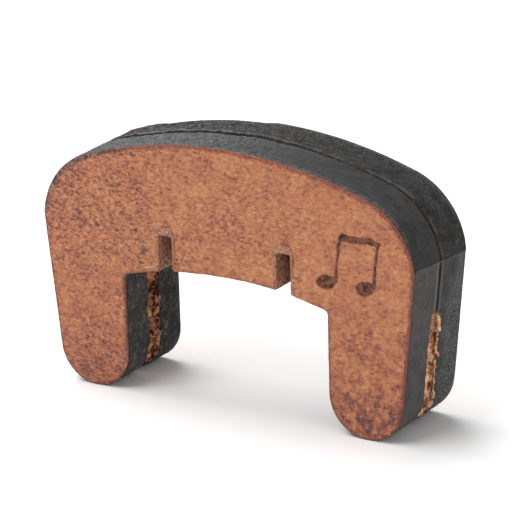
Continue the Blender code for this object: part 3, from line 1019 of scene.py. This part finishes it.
class Shader:
    """A material's node tree, with short calls for the nodes that the finishes use."""

    def __init__(self, name, roughness, specular=0.5):
        self.material = bpy.data.materials.new(name)
        self.material.use_nodes = True
        self.tree = self.material.node_tree
        self.surface = self.tree.nodes["Principled BSDF"].inputs
        self.surface["Roughness"].default_value = roughness
        self.surface["Specular IOR Level"].default_value = specular
        place = self.node("TexCoord", "Object", {})
        self.place = self.node("VectorMath", 0, {0: place, "Scale": 1 / MM}, operation="SCALE")

    def put(self, value, socket):
        """Link a value to a socket, or set a plain number or colour on it."""
        if isinstance(value, Value):
            self.tree.links.new(value.socket, socket)
        else:
            socket.default_value = (*value, 1.0) if socket.type == "RGBA" else value

    def finish(self, **values):
        """Give the surface its values, each named like its socket with _ for a space."""
        for key, value in values.items():
            self.put(value, self.surface[key.replace("_", " ")])
        return self.material

    def node(self, kind, output, inputs, **settings):
        """One output of a new node, whose inputs are values, plain numbers or colours."""
        node = self.tree.nodes.new("ShaderNode" + kind)
        for key, setting in settings.items():
            setattr(node, key, setting)
        for key, value in inputs.items():
            self.put(value, node.inputs[key])
        return Value(self, node.outputs[output])

    def attributes(self, *names):
        return [self.node("Attribute", "Fac", {}, attribute_name=name) for name in names]

    def parts(self):
        """The position's X, Y and Z, in millimetres."""
        return [self.node("SeparateXYZ", axis, {0: self.place}) for axis in "XYZ"]

    def stretch(self, vector, scale, shift=(0, 0, 0), turn=(0, 0, 0)):
        """The vector turned, scaled and then shifted."""
        return self.node("Mapping", 0, {0: vector, "Scale": scale, "Location": shift, "Rotation": turn})

    def shift(self, vector, *by):
        return self.stretch(vector, (1, 1, 1), by)

    def noise(self, vector, scale, detail=3.0, roughness=0.55, distortion=0.0):
        inputs = {"Scale": scale, "Detail": detail, "Roughness": roughness, "Distortion": distortion}
        return self.node("TexNoise", "Fac", {"Vector": vector, **inputs})

    def cells(self, vector, scale):
        return self.node("TexVoronoi", "Distance", {"Vector": vector, "Scale": scale})

    def math(self, operation, a, b=None, clamp=False):
        inputs = {0: a} if b is None else {0: a, 1: b}
        return self.node("Math", 0, inputs, operation=operation, use_clamp=clamp)

    def blend(self, share, a, b):
        return self.node("Mix", 2, {"Factor": share, 6: a, 7: b}, data_type="RGBA")

    def bump(self, height, distance, strength):
        return self.node("Bump", 0, {"Height": height, "Distance": distance * MM, "Strength": strength})

    def ramp(self, value, stops):
        """Colours along a value; stops are (place, colour) from the lowest to the highest."""
        node = self.tree.nodes.new("ShaderNodeValToRGB")
        self.put(value, node.inputs[0])
        band = node.color_ramp.elements
        band[0].position, band[1].position = stops[0][0], stops[-1][0]
        band[0].color, band[1].color = (*stops[0][1], 1.0), (*stops[-1][1], 1.0)
        for place, colour in stops[1:-1]:
            band.new(place).color = (*colour, 1.0)
        return Value(self, node.outputs[0])


def grey(level):
    return (level, level, level)


GRAIN_RAMP = (
    (0.00, (0.090, 0.050, 0.050)),
    (0.18, (0.165, 0.070, 0.055)),
    (0.36, (0.280, 0.098, 0.060)),
    (0.56, (0.395, 0.147, 0.076)),
    (0.78, (0.460, 0.206, 0.095)),
    (1.00, (0.530, 0.275, 0.125)),
)
STAINS = ((-8.5, 14.6, 0.26), (-7.95, 13.65, 0.20), (-7.75, 12.95, 0.40))  # x, z and radius


def grain_side(m, side, place, edge):
    """Colour of the grain face with its worn rim, and the grain, pits and specks in it."""
    x, _, z = m.parts()
    left, foot = x.step(-1.0, -12.0), z.step(7.0, 0.5)
    upper = left * z.step(10.0, 14.0)
    right = x.step(9.0, 12.0) * z.step(13.0, 9.0)
    cloud = m.noise(m.stretch(place, (1, 1, 1.35)), 0.85, 3, 0.6)
    tilted = m.stretch(place, (1, 1, 1.6), turn=(0, 0.10, 0))
    grain = m.noise(tilted, 2.35, 3, 0.66, 0.5)
    coarse = m.noise(m.stretch(place, (1.25, 1, 0.8), (7, 3, 1)), 1.5, 3, 0.6, 0.3)
    pits = m.noise(m.shift(tilted, 3, 5, 7), 3.2, 3, 0.6, 0.5)
    tone = 0.64 + (grain - 0.5) * (upper * 0.35 + 1.6 - x.step(6.0, 11.0) * 0.45)
    tone = tone.varied(cloud, 0.8)
    tone = tone.varied(m.noise(place, 5.5, 2, 0.6, 0.6), x.step(2.0, -5.0) * 0.36 + 0.10)
    tone = tone.varied(coarse, right * 1.0).varied(coarse, right * foot * 1.1)
    tone = tone - foot * 0.10 - z.step(14.0, 8.0) * 0.08
    dense = (upper * 0.078 + foot * 0.035).varied(m.noise(place, 0.22, 2), 0.20).varied(cloud, 0.16)
    speck = (pits + dense).step(0.50, 0.80)
    base = m.ramp(tone - speck * 0.55, GRAIN_RAMP)

    near_edge = edge.varied(m.noise(place, 1.4, 4, 0.80), 1.5) - z.step(14.5, 17.5) * 0.14
    rim_tone = m.blend(pits.step(0.40, 0.56), (0.105, 0.040, 0.034), (0.320, 0.095, 0.060))
    rim_tone = m.blend(left * grain.step(0.56, 0.64), rim_tone, (0.560, 0.300, 0.190))
    base = m.blend(near_edge.step(0.30, 0.14) * 0.8, base, rim_tone)
    if side < 0:
        rough_x = x.varied(m.noise(place, 2.2, 4, 0.75), 1.5)
        rough_z = z.varied(m.noise(m.shift(place, 9, 0, 0), 2.2, 4, 0.75), 1.5)
        stain = m.blend(grain, (0.050, 0.030, 0.036), (0.130, 0.066, 0.060))
        for stain_x, stain_z, radius in STAINS:
            gap = (rough_x - stain_x) ** 2.0 + (rough_z - stain_z) ** 2.0
            spot = gap.step((radius * 1.2) ** 2, (radius * 0.7) ** 2)
            base = m.blend(spot * 0.85, base, stain)
    ragged = edge.varied(m.noise(place, 1.1, 4, 0.75), 1.3)
    torn = x.step(-8.0, -11.5) * z.step(14.5, 17.0) * ragged.step(0.44, 0.34)
    scrape = m.noise(m.shift(place, 2, 2, 2), 2.6, 4, 0.75).step(0.44, 0.60)
    base = m.blend(torn, base, m.blend(scrape, (0.075, 0.048, 0.040), (0.30, 0.175, 0.125)))
    return base, grain, pits, speck


def pressed_border(m, base, place, pits, bare):
    """The pale, pressed leather along the bare edges, with its dark fold, a pale crease that is partly
    scuffed leather and partly painted highlight, and painted highlight dashes along the bare rim.
    """
    pressed, fold, crease = m.attributes("pinch", "fold", "crease")
    dashes = m.noise(m.stretch(place, (1.6, 1, 1.6)), 3.0, 3, 0.7, 0.9)
    mottled = m.blend(pits.step(0.42, 0.56), (0.110, 0.046, 0.044), (0.470, 0.190, 0.090))
    pale = m.blend(dashes.step(0.36, 0.52), (0.170, 0.070, 0.048), (0.330, 0.155, 0.098))
    pale = m.blend(dashes.step(0.55, 0.66), pale, (0.600, 0.450, 0.320))
    pale = m.blend(pressed.step(0.72, 0.60) * 0.75, pale, mottled)
    # Painted highlight: cream dashes along the bare rim.
    pale = m.blend(bare.step(0.20, 0.06) * dashes.step(0.42, 0.54) * 0.7, pale, (0.62, 0.40, 0.26))
    cover = pressed.varied(m.noise(place, 2.2, 3, 0.7, 0.5), 1.5).step(0.36, 0.56)
    base = m.blend(cover * 0.9, base, pale)
    base = m.blend(fold, base, (0.185, 0.038, 0.012))
    # Partly painted highlight: the pale crease along the lip is pale scuffed leather and a painted
    # highlight on its ridge.
    return m.blend(crease.step(0.25, 0.75) * dashes.step(0.38, 0.50), base, (0.70, 0.50, 0.34))


def raw_leather(m, place, slot):
    """Colour and relief of the cut edges and of the torn slot walls, with painted light: the right
    slot's fibres are painted as lit and the left's as shaded, and painted shade darkens the walls'
    hollows.
    """
    x, y, _ = m.parts()
    relief, = m.attributes("relief")
    fibres = m.noise(m.stretch(place, (2.4, 2.4, 1.4)), 2.6, 4, 0.72, 0.5)
    cut = m.blend(fibres.step(0.38, 0.60), (0.120, 0.042, 0.022), (0.46, 0.240, 0.155))
    cut = m.blend(abs(y).step(FACE_T - 0.42, FACE_T - 0.22) * 0.6, cut, (0.17, 0.045, 0.022))
    tangle = m.noise(m.stretch(place, (1.3, 1.3, 1.0)), 2.4, 4, 0.65, 0.8)
    lit = x.step(0.0, 4.0)
    # Painted shade: the walls' hollows are painted dark red, less dark in the lit right slot.
    shaded_hollows = (relief.varied(tangle, 0.5) + lit * 0.08).step(0.14, -0.10)
    shadowed = m.blend(tangle.step(0.34, 0.62), (0.22, 0.072, 0.028), (0.50, 0.230, 0.118))
    bright = m.blend(tangle.step(0.38, 0.60), (0.50, 0.175, 0.070), (0.86, 0.54, 0.33))
    hollow_shade_tone = m.blend(lit, (0.125, 0.026, 0.009), (0.270, 0.062, 0.022))
    tuft = m.blend(shaded_hollows, m.blend(lit, shadowed, bright), hollow_shade_tone)
    return m.blend(slot, cut, tuft), m.blend(slot, fibres, tangle)


def leather_material(name, side):
    """Vegetable-tanned grain with dark speckles, and raw fibrous cut surfaces."""
    m = Shader(name, 0.6, 0.2)
    edge, bare, raw, dye, burn, slot = m.attributes("edge", "bare", "raw", "dye", "burn", "slot")
    place = m.shift(m.place, 40.0 * side, 0, 0)
    base, grain, pits, speck = grain_side(m, side, place, edge)
    base = pressed_border(m, base, place, pits, bare)
    torn, torn_height = raw_leather(m, place, slot)
    base = m.blend(raw, base, torn)
    soaked = dye.varied(m.noise(place, 3.0, 4, 0.7), 0.8)
    base = m.blend(soaked.step(0.12, 0.40), base, (0.130, 0.043, 0.030))
    base = m.blend(soaked.step(0.45, 0.75), base, (0.022, 0.021, 0.021))
    scorch = m.noise(place, 1.9, 4, 0.65, 0.4)
    charred = m.blend(scorch.step(0.36, 0.60), (0.036, 0.014, 0.009), (0.200, 0.072, 0.042))
    base = m.blend(burn, base, charred)
    rough = m.math("ADD", grain * 0.25 + 0.45, raw * 0.3, clamp=True)
    pores = m.cells(m.stretch(place, (1, 1, 1.3)), 5.5)
    height = m.blend(raw, grain * 0.6 + pores * 0.3 - speck * 0.35, torn_height)
    return m.finish(Base_Color=base, Roughness=rough, Normal=m.bump(height, 0.05, 0.8))


def black_material(name, side):
    """Black dye and finish on the cut edge: plain at the sides, with a napped crown painted paler
    towards the left as painted light, a painted highlight beside the seam, and painted shade in the
    seam's groove and on the inner sides under the arch.
    """
    front = side < 0
    m = Shader(name, 0.6, 0.22 if front else 0.12)
    along, across, crease, lower = m.attributes("along", "across", "crease", "lower")
    x, _, z = m.parts()
    flow = m.node("CombineXYZ", 0, {0: along, 1: across})
    from_seam = abs(across)
    streaks = m.noise(m.stretch(flow, (0.5, 5.0, 1.0)), 1.3, 4, 0.6, 0.2)
    patch = m.noise(m.place, 0.8, 4, 0.6)
    nap = m.noise(m.stretch(flow, (1.9, 0.9, 1.0), (0, 20.0 * side, 0)), 2.0, 4, 0.78, 0.9)
    weave = m.noise(m.stretch(flow, (1.9, 0.75, 1.0), (9, 20.0 * side, 0)), 2.9, 3, 0.75, 1.4)
    hairs = m.noise(m.stretch(m.place, (1, 1, 0.6), (3, 1, 2), (0.4, 0, 0)), 2.8, 4, 0.65, 1.6)
    # Painted light: the crown's finish is painted paler towards the left, where the light falls, and
    # darker towards the right; the nap in it is the finish's own texture.
    crown = x.step(12.0, -9.0) * z.step(15.5, 18.0)
    inside = (1.0 - lower) * z.step(14.0, 12.0)

    base = m.blend(patch.step(0.34, 0.62), (0.011, 0.010, 0.010), (0.033, 0.031, 0.030))
    # Painted shade: the finish is painted darker on the inner sides under the arch, where shade falls.
    painted_shade_under_arch = m.blend(patch.step(0.32, 0.66), grey(0.005), (0.026, 0.025, 0.024))
    base = m.blend(inside * 0.7, base, painted_shade_under_arch)
    hairy = hairs.step(0.50, 0.62) * patch.varied(hairs, 0.3).step(0.42, 0.62)
    base = m.blend(inside * hairy, base, (0.125, 0.128, 0.116))
    if front:
        base = m.blend(streaks.step(0.50, 0.70) * 0.25, base, (0.085, 0.088, 0.092))
        # Painted light: the front crown's nap, painted pale where it is lit.
        nap_and_painted_light = m.blend(nap.step(0.43, 0.58), (0.032, 0.034, 0.035), (0.205, 0.219, 0.226))
        nap_and_painted_light = m.blend(weave.step(0.54, 0.42), nap_and_painted_light, grey(0.010))
        smear = m.noise(m.stretch(flow, (0.8, 1.3, 1.0), (4, 0, 0)), 1.1, 3, 0.6, 0.4)
        nap_and_painted_light = m.blend(smear.step(0.44, 0.58) * 0.55, nap_and_painted_light, (0.105, 0.114, 0.119))
        plain = m.blend(patch.step(0.36, 0.60), (0.034, 0.031, 0.029), (0.071, 0.065, 0.061))
        base = m.blend(lower, m.blend(crown, base, nap_and_painted_light), plain)
    else:
        dust = m.noise(m.shift(m.place, 5, 5, 5), 6.5, 2, 0.7)
        dusty = 0.30 + (m.noise(m.place, 1.6, 3, 0.7, 0.6) - 0.5) * 2.4
        dusty = m.math("ADD", dusty, across.step(2.6, 3.6) * 0.25, clamp=True)
        base = m.blend(dust.step(0.50, 0.64) * dusty, base, (0.120, 0.123, 0.125))
        # Painted light: the rear crown's nap, painted pale where it is lit.
        nap_and_painted_light = m.blend(nap.step(0.44, 0.56), grey(0.010), (0.165, 0.160, 0.152))
        nap_and_painted_light = m.blend(weave.step(0.54, 0.42), nap_and_painted_light, grey(0.010))
        plain = m.blend(patch.step(0.25, 0.75), grey(0.020), (0.080, 0.078, 0.076))
        base = m.blend(lower, m.blend(crown, base, nap_and_painted_light), plain)
        rear_band = across.step(2.2, 3.2) * z.step(9.0, 13.0) * streaks.step(0.40, 0.60)
        base = m.blend(lower * rear_band, base, (0.100, 0.102, 0.104))
        flecks = across.step(0.9, 2.0) * z.step(14.0, 9.0) * (lower * dust.step(0.50, 0.66))
        base = m.blend(flecks, base, (0.185, 0.192, 0.195))
    rim_line = from_seam.step(3.45, 3.95) * z.step(16.0, 18.5) * nap.step(0.36, 0.60)
    base = m.blend(rim_line * 0.6, base, (0.140, 0.155, 0.165))

    frayed = m.noise(m.stretch(flow, (1.0, 0.5, 1.0)), 1.7, 4, 0.75)
    beside_seam = from_seam.varied(frayed, crown * 1.6 + 0.25) - crown * (0.06 if front else 0.42)
    # Painted highlight: a pale strip on the rounded ply shoulders beside the seam, paler still on the
    # crown.
    painted_seam_highlight = beside_seam.step(0.20, 0.30) * beside_seam.step(0.62, 0.40)
    shown = lower.larger(crown * (0.3 if front else 1.0))
    shown = shown.larger(patch.step(0.40, 0.56) * (0.0 if front else 0.6))
    painted_seam_highlight_tone = m.blend(crown, (0.105, 0.107, 0.107), (0.230, 0.226, 0.216))
    base = m.blend(painted_seam_highlight * (shown * 0.8), base, painted_seam_highlight_tone)
    # Painted shade: the finish is painted near black in the groove along the seam, darkest on the
    # crown, with browner clogged patches.
    depth = m.blend(crown, (0.018, 0.016, 0.015), (0.005, 0.004, 0.004))
    clogged = frayed.step(0.46, 0.62) * z.step(14.0, 16.5)
    depth = m.blend(clogged * 0.8, depth, (0.052, 0.040, 0.036))
    base = m.blend(beside_seam.step(0.22, 0.12), base, depth)
    ridge = crease * patch.step(0.25, 0.45)
    base = m.blend(ridge.step(0.35, 0.85) * 0.7, base, (0.110, 0.068, 0.060))
    height = (streaks * 0.4).varied(nap, 0.9 if front else 1.2)
    m.surface["Sheen Weight"].default_value = 0.06 if front else 0.03
    m.surface["Sheen Roughness"].default_value = 0.5
    return m.finish(Base_Color=base, Normal=m.bump(height, 0.11, 1.0), Roughness=patch.step(-0.4, 0.9))


def fibre_material(name, dark, light):
    """Loose fibres, each with its own tone, paler towards the tip."""
    m = Shader(name, 0.75, 0.3)
    tone, tip = m.attributes("tone", "tip")
    share = m.math("ADD", tone * 0.75, tip * 0.25, clamp=True)
    share = m.math("ADD", share, (m.noise(m.place, 6.0, 2) - 0.5) * 0.4, clamp=True)
    return m.finish(Base_Color=m.blend(share, dark, light))


def glue_material():
    m = Shader("dry_glue", 0.5, 0.4)
    grain = m.noise(m.place, 2.5, 4, 0.6)
    colour = m.blend(grain, (0.012, 0.009, 0.008), (0.045, 0.030, 0.022))
    return m.finish(Base_Color=colour, Normal=m.bump(grain, 0.05, 0.8))


# ---- Stage ------------------------------------------------------------------
def build_stage():
    """A plain pale floor and a dim, even, pale surrounding light."""
    size = 3.0
    mesh = bpy.data.meshes.new("floor")
    corners = [(-size, -size, 0), (size, -size, 0), (size, size, 0), (-size, size, 0)]
    mesh.from_pydata(corners, [], [(0, 1, 2, 3)])
    mesh.materials.append(Shader("floor_paint", 0.9, 0.1).finish(Base_Color=grey(0.93)))
    new_object("floor", mesh)

    world = bpy.data.worlds.new("studio")
    world.use_nodes = True
    light = world.node_tree.nodes["Background"].inputs
    light["Color"].default_value = (1, 1, 1, 1)
    light["Strength"].default_value = 0.38
    bpy.context.scene.world = world


LIGHT_TARGET = (0, 0, 0.01)


def add_light(name, place, size, power):
    """A square soft box at place (metres) that shines on the mute."""
    lamp = bpy.data.lights.new(name, "AREA")
    lamp.shape = "SQUARE"
    lamp.size = size
    lamp.energy = power
    box = new_object(name, lamp)
    box.location = place
    aim = Vector(LIGHT_TARGET) - Vector(place)
    box.rotation_euler = aim.to_track_quat("-Z", "Y").to_euler()


# ---- Camera -----------------------------------------------------------------
VIEW_AZIMUTH, VIEW_ELEVATION, VIEW_ROLL = 32.94, 18.56, -1.69
VIEW_DISTANCE, VIEW_LENS = 0.2596, 220.4
VIEW_TARGET = (0.0003, 0.0004, 0.0123)


def build_camera():
    a, e = math.radians(VIEW_AZIMUTH), math.radians(VIEW_ELEVATION)
    back = Vector((math.sin(a) * math.cos(e), -math.cos(a) * math.cos(e), math.sin(e)))
    data = bpy.data.cameras.new("camera")
    data.sensor_width = 36.0
    data.lens = VIEW_LENS
    data.clip_start, data.clip_end = 0.01, 20.0
    camera = new_object("camera", data)
    roll = Matrix.Rotation(math.radians(VIEW_ROLL), 3, "Z")
    turn = (-back).to_track_quat("-Z", "Y").to_matrix() @ roll
    camera.matrix_world = Matrix.Translation(Vector(VIEW_TARGET) + back * VIEW_DISTANCE) @ turn.to_4x4()
    bpy.context.scene.camera = camera


def main():
    bpy.context.scene.view_settings.view_transform = "Standard"
    build_camera()
    build_stage()
    add_light("key", (-0.25, -0.45, 0.75), 0.5, 3.8)
    add_light("top", (-0.35, 0.15, 0.75), 0.6, 6.2)
    add_light("fill", (0.55, -0.40, 0.28), 0.5, 1.2)
    build_ply(-1, "front_leather_ply", "front_ply", leather_material("front_leather", -1))
    build_ply(1, "rear_leather_ply", "rear_ply", leather_material("rear_leather", 1))
    build_coat(-1, "front_black_edge", "front_edge_coat", black_material("front_black", -1))
    build_coat(1, "rear_black_edge", "rear_edge_coat", black_material("rear_black", 1))
    build_glue(glue_material())
    raw = fibre_material("raw_fibre", (0.26, 0.10, 0.045), (0.62, 0.38, 0.24))
    slot_fibres("left_slot_fibres", -1, 101, raw)
    slot_fibres("right_slot_fibres", 1, 201, raw)
    dyed = fibre_material("dyed_fibre", grey(0.012), (0.075, 0.077, 0.080))
    edge_fuzz("front_edge_fuzz", -1, 900, 301, dyed)
    edge_fuzz("rear_edge_fuzz", 1, 2200, 401, dyed)


main()
